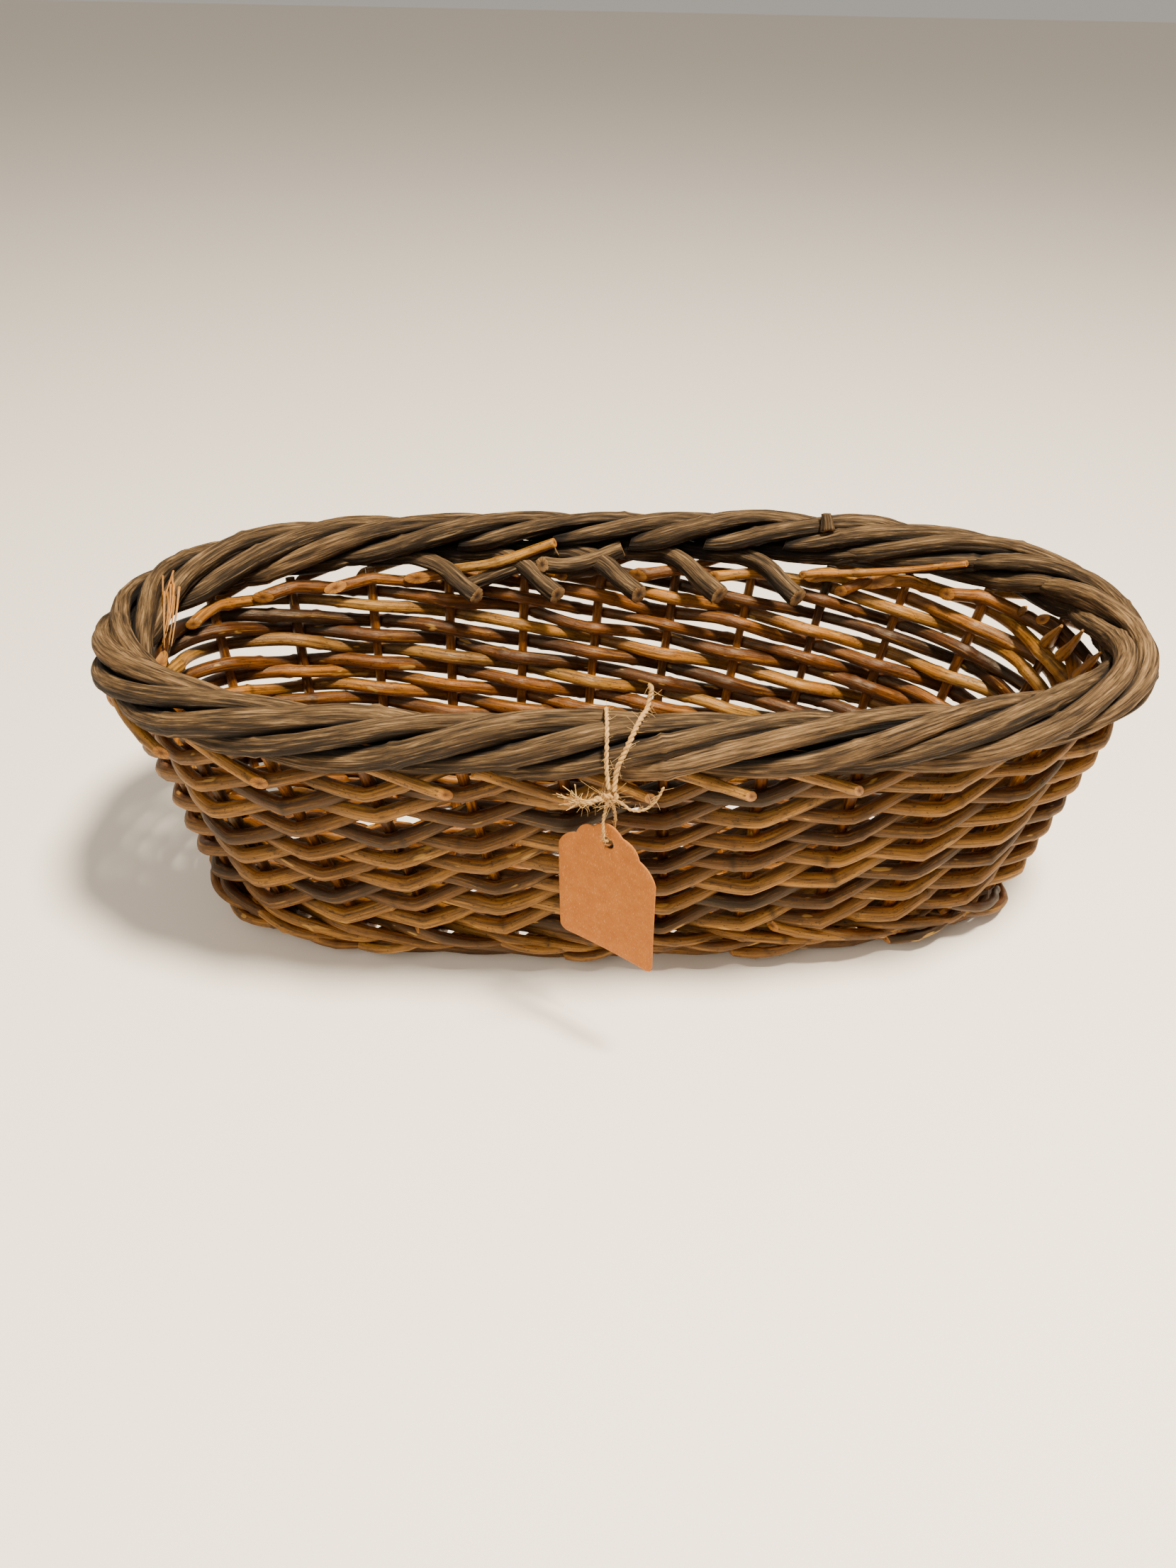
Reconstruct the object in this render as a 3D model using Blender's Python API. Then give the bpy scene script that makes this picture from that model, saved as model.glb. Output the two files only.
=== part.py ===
"""An oval willow bread basket: ribs that cross the base and turn up as stakes, French-rand sides, a
three-rod wale round the foot, a rope-laid border of thick vine, and a blank tag tied on with twine.

Metres, +Z up, the basket stands on z = 0 and its long axis is X. Places round the basket are given
as a stake number, which may be a fraction: 0 is the right end, and the numbers rise anticlockwise
seen from above, so stakes 2 to 11 are the back and 15 to 24 the front."""

import math

import bmesh
import bpy
from mathutils import Vector

# The oval that the stakes' centre line follows, half length and half width
FLOOR_HALF = (0.1810, 0.0580)
RIM_HALF = (0.2090, 0.0910)
RIM_HEIGHT = 0.1370
OVAL_POWER = 2.7
OVAL_STEPS = 1440

# Ribs, which are the stakes above the base
STAKES = 26
CROSS_STAKES = range(2, 12)
RIB_RADIUS = 0.0026
LONG_RIB_RADIUS = 0.0023
STAKE_TOP = 0.1245
STAKE_LEAN = math.tan(math.radians(5))
BASE_HEIGHT = 0.0080
BEND_RADIUS = 0.0090
CLEARANCE = 0.0004

# Side weave: each rod starts at its own stake and climbs one layer at every stake
RAND_RADIUS = (0.0031, 0.0026)
RAND_OFFSET = 0.0064
RAND_START = 0.0235
RAND_PITCH = 0.00695
RAND_LAYERS = 14
RAND_END = 0.35

# Three-rod wale at the foot: outside two stakes, inside one. Each stop is half a stake on, with its
# share of the offset and of the rise
WALE_RADIUS = 0.0023
WALE_HEIGHT = 0.0165
WALE_RISE = 0.0034
WALE_OFFSET = 0.0061
WALE_LENGTH = 23.5
WALE_STOPS = ((1, 1.0), (1, 0.0), (1, -1.0), (0, -0.8), (-1, 0.0), (0, 0.8))

# Foot hoops round the turned-up ribs: radius, height, offset from the stakes' line. A rod of six
# sides is flat below, so the lower hoop rests on the floor at its inner radius
FOOT_HOOPS = {
    "foot_hoop_lower": (0.0025, 0.0025 * math.cos(math.radians(30)), -0.0026),
    "foot_hoop_upper": (0.0025, 0.0066, 0.0017),
}
HOOP_STEPS = 48

# Base weavers, which run along the base and pass over and under the cross ribs. The outer long
# ribs bow outwards between the basket's ends, and the weavers between them share out the width
LONG_RIB_ENDS = 0.0215
LONG_RIB_BOW = 0.0115
BOW_HALF_LENGTH = 0.1600
WEAVER_RADIUS = 0.0018
WEAVER_PASSES = 4
WEAVER_TURN = 0.0095
EDGE_WEAVER_STEP = 0.0062
EDGE_WEAVER_STAKES = range(5, 9)

# Border: five vine strands laid round the rim like a rope, each with a cut butt inside the back
STRANDS = 5
STRAND_RADIUS = 0.0041
LAY_RADIUS = 0.00775
TURN_STEPS = 12
FIRST_BUTT = 0.1880
BUTT_PHASE = math.radians(225)
BUTT_ROUTE = ((0.0240, -0.0250, -0.0190), (0.0155, -0.0200, -0.0145), (0.0080, -0.0125, -0.0090))
STRAND_END_GAP = 0.0150

# Twine and tag, placed from the knot in front of the border
KNOT = Vector((-0.0135, -0.1085, 0.1265))
KNOT_RADIUS = 0.0032
TWINE_RADIUS = 0.0010
TIE_RADIUS = 0.0135
STRING_RADIUS = 0.00075
STRING_BEND = 0.0033
HOLE_DROP = 0.0205
TAG_YAW = math.radians(-38)
TAG_THICKNESS = 0.0006
TAG_HALF_WIDTH = 0.0220
TAG_BELOW_HOLE = 0.0550
TAG_CORNER = 0.0035
TAG_SHOULDER = -0.0095
TAG_SCALLOPS = ((0.0142, -0.0015), (0.0064, 0.0050))
SCALLOP_BULGES = (0.0014, 0.0018, 0.0037)
HOLE_RADIUS = 0.0025

BARK = (0.32, 0.21, 0.11)
STAKE_BARK = (0.26, 0.15, 0.07)
VINE = (0.24, 0.18, 0.13)
JUTE = (0.62, 0.46, 0.26)
KRAFT = (0.60, 0.35, 0.17)


def clear_scene():
    for item in list(bpy.data.objects):
        bpy.data.objects.remove(item)


def make_collection(name):
    collection = bpy.data.collections.new(name)
    bpy.context.scene.collection.children.link(collection)
    return collection


def make_material(name, colour, roughness):
    material = bpy.data.materials.new(name)
    material.use_nodes = True
    shader = material.node_tree.nodes["Principled BSDF"]
    shader.inputs["Base Color"].default_value = (*colour, 1)
    shader.inputs["Roughness"].default_value = roughness
    shader.inputs["Metallic"].default_value = 0
    return material


def power(value, exponent):
    return math.copysign(abs(value) ** exponent, value)


def oval_points(height):
    """The corner points of the stakes' oval at one height, once round."""
    share = height / RIM_HEIGHT
    half = [low + (high - low) * share for low, high in zip(FLOOR_HALF, RIM_HALF)]
    points = []
    for step in range(OVAL_STEPS + 1):
        turn = 2 * math.pi * step / OVAL_STEPS
        points.append(
            Vector(
                (
                    half[0] * power(math.cos(turn), 2 / OVAL_POWER),
                    half[1] * power(math.sin(turn), 2 / OVAL_POWER),
                    height,
                )
            )
        )
    return points


def running_length(points):
    lengths = [0.0]
    for a, b in zip(points, points[1:]):
        lengths.append(lengths[-1] + (b - a).length)
    return lengths


MIDDLE_LENGTHS = running_length(oval_points(RIM_HEIGHT / 2))
STAKE_GAP = MIDDLE_LENGTHS[-1] / STAKES
RIM_LENGTH = running_length(oval_points(RIM_HEIGHT))[-1]
RIM_GAP = RIM_LENGTH / STAKES


def oval_turn(stake):
    """The oval's parameter at a stake number, with the stakes evenly spaced at mid height."""
    target = (stake % STAKES) * STAKE_GAP
    low, high = 0, OVAL_STEPS
    while high - low > 1:
        middle = (low + high) // 2
        if MIDDLE_LENGTHS[middle] <= target:
            low = middle
        else:
            high = middle
    rest = (target - MIDDLE_LENGTHS[low]) / (MIDDLE_LENGTHS[high] - MIDDLE_LENGTHS[low])
    return 2 * math.pi * (low + rest) / OVAL_STEPS


def wall_point(stake, height, offset=0.0):
    """A point beside a leaning stake: offset is level, outwards from the stakes' line."""
    turn = oval_turn(stake - STAKE_LEAN * height / STAKE_GAP)
    x = power(math.cos(turn), 2 / OVAL_POWER)
    y = power(math.sin(turn), 2 / OVAL_POWER)
    share = height / RIM_HEIGHT
    half_x, half_y = (low + (high - low) * share for low, high in zip(FLOOR_HALF, RIM_HALF))
    outward = Vector(
        (power(x, OVAL_POWER - 1) / half_x, power(y, OVAL_POWER - 1) / half_y, 0)
    ).normalized()
    return Vector((half_x * x, half_y * y, height)) + outward * offset


def make_rod(name, points, radii, material, collection, sides=6, closed=False):
    """A round rod along points: radii is one radius, or those at its two ends."""
    start, end = radii if isinstance(radii, tuple) else (radii, radii)
    curve = bpy.data.curves.new(name, "CURVE")
    curve.dimensions = "3D"
    curve.resolution_u = 1
    curve.render_resolution_u = 0
    curve.bevel_depth = start
    curve.bevel_resolution = (sides - 4) // 2
    curve.use_fill_caps = not closed
    spline = curve.splines.new("POLY")
    spline.points.add(len(points) - 1)
    spline.use_cyclic_u = closed
    for index, point in enumerate(points):
        share = index / (len(points) - 1)
        spline.points[index].co = (*point, 1)
        spline.points[index].radius = 1 + (end / start - 1) * share
    rod = bpy.data.objects.new(name, curve)
    curve.materials.append(material)
    collection.objects.link(rod)
    return rod


def stake_side(stake):
    """The turned-up part of a rib, from its top down to the flat base."""
    points = [wall_point(stake, height) for height in (STAKE_TOP, 0.090, 0.055)]
    for degrees in (0, 30, 60, 90):
        angle = math.radians(degrees)
        inward = BEND_RADIUS * (1 - math.cos(angle))
        height = BASE_HEIGHT + BEND_RADIUS * (1 - math.sin(angle))
        points.append(wall_point(stake, height, -inward))
    return points


def rib_crossing(stake, share, extra=0.0):
    """Where the cross rib of a stake meets a row of the base, at a share of the bow's width."""
    back = stake_side(stake)[-1]
    front = stake_side(STAKES - stake)[-1]
    bow = LONG_RIB_ENDS + LONG_RIB_BOW * (1 - (back.x / BOW_HALF_LENGTH) ** 2)
    y = share * bow + math.copysign(extra, share)
    along = (y - front.y) / (back.y - front.y)
    return Vector((front.x + (back.x - front.x) * along, y, BASE_HEIGHT))


def woven_points(stakes, row, share, amplitude, extra=0.0):
    """Points over and under the cross ribs along one row of the base, from right to left."""
    points = []
    for stake in stakes:
        side = 1 if (stake + row) % 2 else -1
        points.append(rib_crossing(stake, share, extra) + Vector((0, 0, side * amplitude)))
    return points


def with_tails(points, amplitude):
    """The same points with an end beyond each outer cross rib, on the way to the other side."""
    first, last = points[0].copy(), points[-1].copy()
    first.x += WEAVER_TURN
    last.x -= WEAVER_TURN
    for end in (first, last):
        end.z = BASE_HEIGHT + math.copysign(amplitude / 2, end.z - BASE_HEIGHT)
    return [first, *points, last]


def make_ribs(collection):
    for number, stake in enumerate(CROSS_STAKES):
        name = f"cross_rib_{number + 1:02d}"
        points = stake_side(stake) + stake_side(STAKES - stake)[::-1]
        make_rod(name, points, RIB_RADIUS, make_material(name, STAKE_BARK, 0.6), collection)
    amplitude = RIB_RADIUS + LONG_RIB_RADIUS + CLEARANCE
    ribs = {"long_rib_back": (1, 12, 1), "long_rib_middle": (0, 13, 0), "long_rib_front": (25, 14, -1)}
    for place, (name, (right, left, share)) in enumerate(ribs.items()):
        row = place * (WEAVER_PASSES + 1)
        across = woven_points(CROSS_STAKES, row, share, amplitude)
        points = stake_side(right) + across + stake_side(left)[::-1]
        make_rod(name, points, LONG_RIB_RADIUS, make_material(name, STAKE_BARK, 0.6), collection)


def make_base_weavers(collection):
    """Rods woven between the long ribs, each in several passes, and one rod along each edge."""
    amplitude = RIB_RADIUS + WEAVER_RADIUS + CLEARANCE
    rows = WEAVER_PASSES + 1
    for name, first_row, first_share in (("base_weaver_back", 0, 1), ("base_weaver_front", rows, 0)):
        points = []
        for number in range(1, rows):
            share = first_share - number / rows
            run = with_tails(woven_points(CROSS_STAKES, first_row + number, share, amplitude), amplitude)
            points += run if number % 2 else run[::-1]
        make_rod(name, points, WEAVER_RADIUS, make_material(name, BARK, 0.6), collection, sides=4)
    for name, row, share in (("base_weaver_back_edge", -1, 1), ("base_weaver_front_edge", 2 * rows + 1, -1)):
        run = woven_points(EDGE_WEAVER_STAKES, row, share, amplitude, EDGE_WEAVER_STEP)
        points = with_tails(run, amplitude)
        make_rod(name, points, WEAVER_RADIUS, make_material(name, BARK, 0.6), collection, sides=4)


def make_rand(collection):
    """The side weave: rod by rod, inside at even layers and outside at odd ones."""
    for rod in range(STAKES):
        points = [wall_point(rod - RAND_END, RAND_START, -RAND_OFFSET)]
        for half in range(2 * RAND_LAYERS + 1):
            layer = half / 2
            offset = -RAND_OFFSET * math.cos(math.pi * layer)
            points.append(wall_point(rod + layer, RAND_START + layer * RAND_PITCH, offset))
        top = RAND_START + RAND_LAYERS * RAND_PITCH
        points.append(wall_point(rod + RAND_LAYERS + RAND_END, top, -RAND_OFFSET))
        name = f"rand_rod_{rod + 1:02d}"
        make_rod(name, points, RAND_RADIUS, make_material(name, BARK, 0.55), collection)


def make_wale(collection):
    for rod in range(3):
        points = []
        for half in range(round(2 * WALE_LENGTH) + 1):
            offset, rise = WALE_STOPS[half % len(WALE_STOPS)]
            height = WALE_HEIGHT + rise * WALE_RISE
            points.append(wall_point(rod + half / 2, height, offset * WALE_OFFSET))
        name = f"wale_rod_{rod + 1}"
        make_rod(name, points, WALE_RADIUS, make_material(name, BARK, 0.6), collection)


def make_foot_hoops(collection):
    for name, (radius, height, offset) in FOOT_HOOPS.items():
        stakes = [STAKES * step / HOOP_STEPS for step in range(HOOP_STEPS)]
        points = [wall_point(stake, height, offset) for stake in stakes]
        material = make_material(name, STAKE_BARK, 0.6)
        make_rod(name, points, radius, material, collection, closed=True)


def rim_point(distance, offset, rise):
    """A point beside the border's centre line, distance along it from the right end."""
    stake = distance / RIM_GAP + STAKE_LEAN * RIM_HEIGHT / STAKE_GAP
    return wall_point(stake, RIM_HEIGHT, offset) + Vector((0, 0, rise))


def make_border(collection):
    """Strands that pass outside, over the top, inside and under as they run anticlockwise."""
    turn_length = RIM_LENGTH / STRANDS
    for strand in range(STRANDS):
        start = FIRST_BUTT + turn_length * strand / STRANDS
        points = []
        for back, offset, rise in BUTT_ROUTE:
            points.append(rim_point(start - back, offset, rise))
        steps = STRANDS * TURN_STEPS
        run = RIM_LENGTH - STRAND_END_GAP
        for step in range(steps + 1):
            along = run * step / steps
            phase = BUTT_PHASE + 2 * math.pi * along / turn_length
            offset, rise = LAY_RADIUS * math.cos(phase), LAY_RADIUS * math.sin(phase)
            points.append(rim_point(start + along, offset, rise))
        name = f"border_strand_{strand + 1}"
        make_rod(name, points, STRAND_RADIUS, make_material(name, VINE, 0.75), collection)


def make_tie(collection):
    """The twine tied round the border: a loop, its knot and the knot's two cut ends."""
    centre = Vector((KNOT.x, -RIM_HALF[1], RIM_HEIGHT))
    points = [KNOT + Vector((0, 0.0005, KNOT_RADIUS + TWINE_RADIUS))]
    for degrees in range(12, 300, 24):
        angle = math.radians(degrees)
        points.append(centre + TIE_RADIUS * Vector((0, -math.cos(angle), math.sin(angle))))
    points.append(KNOT + Vector((0, KNOT_RADIUS + TWINE_RADIUS, -0.0010)))
    make_rod("tie_loop", points, TWINE_RADIUS, make_material("tie_loop", JUTE, 0.9), collection)

    mesh = bpy.data.meshes.new("twine_knot")
    shape = bmesh.new()
    bmesh.ops.create_uvsphere(shape, u_segments=12, v_segments=8, radius=KNOT_RADIUS)
    shape.to_mesh(mesh)
    shape.free()
    mesh.materials.append(make_material("twine_knot", JUTE, 0.9))
    knot = bpy.data.objects.new("twine_knot", mesh)
    knot.location = KNOT
    collection.objects.link(knot)

    ends = {
        "twine_end_frayed": ((-0.0046, -0.0002, 0.0), (-0.0085, -0.0010, -0.0025), (-0.0140, -0.0010, 0.0005)),
        "twine_end_long": (
            (0.0042, -0.0005, -0.0016),
            (0.0070, -0.0012, -0.0045),
            (0.0115, -0.0012, -0.0052),
            (0.0160, -0.0010, -0.0020),
            (0.0190, -0.0005, 0.0050),
        ),
    }
    for name, offsets in ends.items():
        points = [KNOT + Vector(offset) for offset in offsets]
        make_rod(name, points, TWINE_RADIUS, make_material(name, JUTE, 0.9), collection)


def make_tag_string(pivot, collection):
    """The string from the knot through the tag's hole and back, square to the tag."""
    bend_height = -HOLE_DROP + HOLE_RADIUS / 2 + STRING_BEND
    leg = [(0.0012, -0.0046), (0.0024, -0.0090), (STRING_BEND, bend_height + 0.0020)]
    profile = list(leg)
    for degrees in range(0, 181, 30):
        angle = math.radians(degrees)
        profile.append((STRING_BEND * math.cos(angle), bend_height - STRING_BEND * math.sin(angle)))
    profile += [(-out, height) for out, height in reversed(leg)]
    points = [Vector((0, out, height)) for out, height in profile]
    material = make_material("tag_string", JUTE, 0.9)
    string = make_rod("tag_string", points, STRING_RADIUS, material, collection)
    string.parent = pivot


def arc_through(start, end, bulge, steps):
    """Points of an arc from start to end, end left out; bulge is its height over the chord."""
    start, end = Vector(start), Vector(end)
    chord = end - start
    side = Vector((-chord.y, chord.x)).normalized()
    radius = (chord.length / 2) ** 2 / (2 * bulge) + bulge / 2
    centre = (start + end) / 2 - side * (radius - bulge)
    half_angle = math.asin(min(1.0, chord.length / 2 / radius))
    points = []
    for step in range(steps):
        angle = half_angle * (1 - 2 * step / steps)
        ray = side * math.cos(angle) - chord.normalized() * math.sin(angle)
        points.append(centre + ray * radius)
    return points


def tag_outline():
    """The scalloped tag round its hole, which is at the origin; x is its width and y is up."""
    wide, low, corner = TAG_HALF_WIDTH, -TAG_BELOW_HOLE, TAG_CORNER
    outer, inner = TAG_SCALLOPS
    slope = [((wide, TAG_SHOULDER), outer, SCALLOP_BULGES[0]), (outer, inner, SCALLOP_BULGES[1])]
    points = []
    rise = 1 - 1 / math.sqrt(2)
    points += [(wide - corner, low), (wide - corner * rise, low + corner * rise), (wide, low + corner)]
    for start, end, bulge in slope:
        points += reversed_side(arc_through(end, start, bulge, 4), start)
    points += reversed_side(arc_through((-inner[0], inner[1]), inner, SCALLOP_BULGES[2], 6), inner)
    for start, end, bulge in reversed(slope):
        mirrored_start, mirrored_end = (-start[0], start[1]), (-end[0], end[1])
        points += reversed_side(arc_through(mirrored_start, mirrored_end, bulge, 4), mirrored_end)
    points += [(-wide, low + corner), (-wide + corner * rise, low + corner * rise), (-wide + corner, low)]
    return points


def reversed_side(points, first):
    """An arc's points the other way round, from first up to but not with its own start."""
    return [Vector(first)] + points[:0:-1]


def make_tag(pivot, collection):
    curve = bpy.data.curves.new("price_tag", "CURVE")
    curve.dimensions = "2D"
    curve.fill_mode = "BOTH"
    curve.extrude = TAG_THICKNESS / 2
    circle = []
    for step in range(12):
        turn = 2 * math.pi * step / 12
        circle.append((HOLE_RADIUS * math.cos(turn), HOLE_RADIUS * math.sin(turn)))
    for outline in (tag_outline(), circle):
        spline = curve.splines.new("POLY")
        spline.points.add(len(outline) - 1)
        spline.use_cyclic_u = True
        for index, (x, y) in enumerate(outline):
            spline.points[index].co = (x, y, 0, 1)
    curve.materials.append(make_material("price_tag", KRAFT, 0.85))
    tag = bpy.data.objects.new("price_tag", curve)
    tag.location = (0, 0, -HOLE_DROP)
    tag.rotation_euler = (math.pi / 2, 0, 0)
    tag.parent = pivot
    collection.objects.link(tag)


def main():
    clear_scene()
    basket = make_collection("bread_basket")
    make_ribs(basket)
    make_base_weavers(basket)
    make_rand(basket)
    make_wale(basket)
    make_foot_hoops(basket)
    make_border(basket)
    make_tie(basket)
    pivot = bpy.data.objects.new("tag_pivot", None)
    pivot.location = KNOT
    pivot.rotation_euler = (0, 0, TAG_YAW)
    basket.objects.link(pivot)
    make_tag_string(pivot, basket)
    make_tag(pivot, basket)


main()
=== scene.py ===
"""The looks of the bread basket: willow rods with bark, nodes and cut ends, a weathered vine border,
jute twine and a kraft tag, laid along the same lines as the CAD rods that they replace."""

import math

import bpy
import numpy as np
from mathutils import Matrix, Vector
from numpy.random import default_rng


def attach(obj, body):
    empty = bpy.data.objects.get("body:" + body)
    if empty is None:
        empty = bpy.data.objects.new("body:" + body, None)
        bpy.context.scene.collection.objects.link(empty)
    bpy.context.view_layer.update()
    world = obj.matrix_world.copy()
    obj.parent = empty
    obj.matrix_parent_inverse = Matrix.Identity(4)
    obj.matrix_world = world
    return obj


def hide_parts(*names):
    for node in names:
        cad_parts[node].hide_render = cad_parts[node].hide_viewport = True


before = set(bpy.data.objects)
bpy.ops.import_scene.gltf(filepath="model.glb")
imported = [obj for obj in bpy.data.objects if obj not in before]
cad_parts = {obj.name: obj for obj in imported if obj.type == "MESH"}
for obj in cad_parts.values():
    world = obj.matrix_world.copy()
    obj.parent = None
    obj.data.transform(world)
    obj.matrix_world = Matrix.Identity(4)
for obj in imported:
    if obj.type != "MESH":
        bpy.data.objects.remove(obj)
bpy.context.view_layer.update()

# -------- the basket's lines, as in the CAD
# Metres throughout. Stakes are counted from the right end, anticlockwise seen from above.
FLOOR_HALF = (0.1810, 0.0580)
RIM_HALF = (0.2090, 0.0910)
RIM_HEIGHT = 0.1370
OVAL_POWER = 2.7
STAKES = 26
STAKE_LEAN = math.tan(math.radians(5))
STAKE_TOP = 0.1250
BASE_HEIGHT = 0.0080
BEND_RADIUS = 0.0090
CROSS_STAKES = range(2, 12)

RAND_OFFSET = 0.0055
RAND_START = 0.0235
RAND_PITCH = 0.00700
RAND_LAYERS = 14
RAND_SAG = 0.0020
RAND_TUCK = 0.30
RAND_RADIUS = 0.0035
RAND_TIP_RADIUS = 0.00315
RAND_TIP_LEAN = 0.004

KNOT = Vector((-0.0135, -0.1085, 0.1265))
HOLE_DROP = 0.0205
TAG_YAW = math.radians(-38)

UP = np.array([0, 0, 1.0])
TURNS = np.linspace(0, 2 * np.pi, 2881)


def power(value, exponent):
    return np.sign(value) * np.abs(value) ** exponent


def unit(vectors):
    return vectors / np.linalg.norm(vectors, axis=-1, keepdims=True)


def lengths_along(points):
    """How far along a line each of its points is."""
    return np.concatenate([[0], np.cumsum(np.linalg.norm(np.diff(points, axis=0), axis=1))])


def oval(turn, height):
    """Points and outward directions of the stakes' line at angles and heights (arrays)."""
    x, y = power(np.cos(turn), 2 / OVAL_POWER), power(np.sin(turn), 2 / OVAL_POWER)
    share = height / RIM_HEIGHT
    half_x = FLOOR_HALF[0] + (RIM_HALF[0] - FLOOR_HALF[0]) * share
    half_y = FLOOR_HALF[1] + (RIM_HALF[1] - FLOOR_HALF[1]) * share
    points = np.stack([half_x * x, half_y * y, height + 0 * x], axis=-1)
    out = np.stack([power(x, OVAL_POWER - 1) / half_x, power(y, OVAL_POWER - 1) / half_y, 0 * x], axis=-1)
    return points, unit(out)


def lengths_round(height):
    return lengths_along(oval(TURNS, np.full(len(TURNS), height))[0])


MIDDLE = lengths_round(RIM_HEIGHT / 2)
STAKE_GAP = MIDDLE[-1] / STAKES
RIM_LENGTH = lengths_round(RIM_HEIGHT)[-1]
RIM_GAP = RIM_LENGTH / STAKES


def wall(stake, height, offset=0.0):
    """Points beside the leaning stakes, and the outward directions there."""
    stake, height, offset = np.broadcast_arrays(stake, height, offset)
    along = ((stake - STAKE_LEAN * height / STAKE_GAP) % STAKES) * STAKE_GAP
    points, out = oval(np.interp(along, MIDDLE, TURNS), height)
    return points + out * offset[..., None], out


def rim(distance, offset, rise):
    """Points beside the border's centre line, a distance along it from the right end."""
    stake = distance / RIM_GAP + STAKE_LEAN * RIM_HEIGHT / STAKE_GAP
    points, out = wall(stake, RIM_HEIGHT, offset)
    return points + UP * np.asarray(rise)[..., None], out


# -------- small numeric tools
def eased(share):
    """A share from 0 to 1 with soft ends."""
    return share * share * (3 - 2 * share)


def steps(place):
    """The whole number below each place, and an eased share of the way to the next."""
    index = np.floor(place).astype(int)
    return index, eased(place - index)


def wander(rng, along, step, size):
    """A smooth random value along a rod, one new value each step."""
    knots = rng.normal(0, size, int(along[-1] / step) + 3)
    index, share = steps(along / step)
    return knots[index] * (1 - share) + knots[index + 1] * share


def furrows(rng, along, sides, count, step):
    """Smooth random values round and along a rod: count furrows round it, step long."""
    knots = rng.random((int(along[-1] / step) + 3, count))
    index, share = steps(along / step)
    cell, part = steps(np.arange(sides) / sides * count)
    near, far = (knots[row][:, cell % count] * (1 - part) + knots[row][:, (cell + 1) % count] * part
                 for row in (index, index + 1))
    return near * (1 - share[:, None]) + far * share[:, None]


def spaced(points, step):
    """The same line with a point about every step."""
    points = np.asarray(points, float)
    along = lengths_along(points)
    at = np.linspace(0, along[-1], max(2, int(round(along[-1] / step)) + 1))
    return np.stack([np.interp(at, along, points[:, k]) for k in range(3)], axis=1)


def smooth_line(points, step, rounds=3):
    """A smooth curve near a few given points, by repeated corner cutting."""
    points = np.asarray([tuple(p) for p in points], float)
    for _ in range(rounds):
        near = 0.75 * points[:-1] + 0.25 * points[1:]
        far = 0.25 * points[:-1] + 0.75 * points[1:]
        middle = np.stack([near, far], axis=1).reshape(-1, 3)
        points = np.concatenate([points[:1], middle, points[-1:]])
    return spaced(points, step)


def directions(line):
    """The unit direction at each point of a line."""
    return unit(np.gradient(line, axis=0))


def crossways(tangent):
    """Two directions square to a line at each point, carried along it without twisting."""
    side = np.zeros_like(tangent)
    start = UP if abs(tangent[0][2]) < 0.9 else np.array([1.0, 0, 0])
    side[0] = start - tangent[0] * np.dot(start, tangent[0])
    side[0] /= np.linalg.norm(side[0])
    for i in range(1, len(tangent)):
        carried = side[i - 1] - tangent[i] * np.dot(side[i - 1], tangent[i])
        side[i] = carried / np.linalg.norm(carried)
    return side, np.cross(tangent, side)


# -------- rods as one mesh
# The rings of a cut end: their share of the rod's radius, how far they stand out, how much pith they show.
CUT_RINGS = ((0.90, 0.06, 0.0), (0.35, 0.05, 0.55))
PITH_STANDS_OUT = 0.03
# A slanted end's reach along the rod, and how far the slant fades out behind it, in radii of the rod.
SLANT_REACH = 1.2
SLANT_FADE = 2.5


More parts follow.
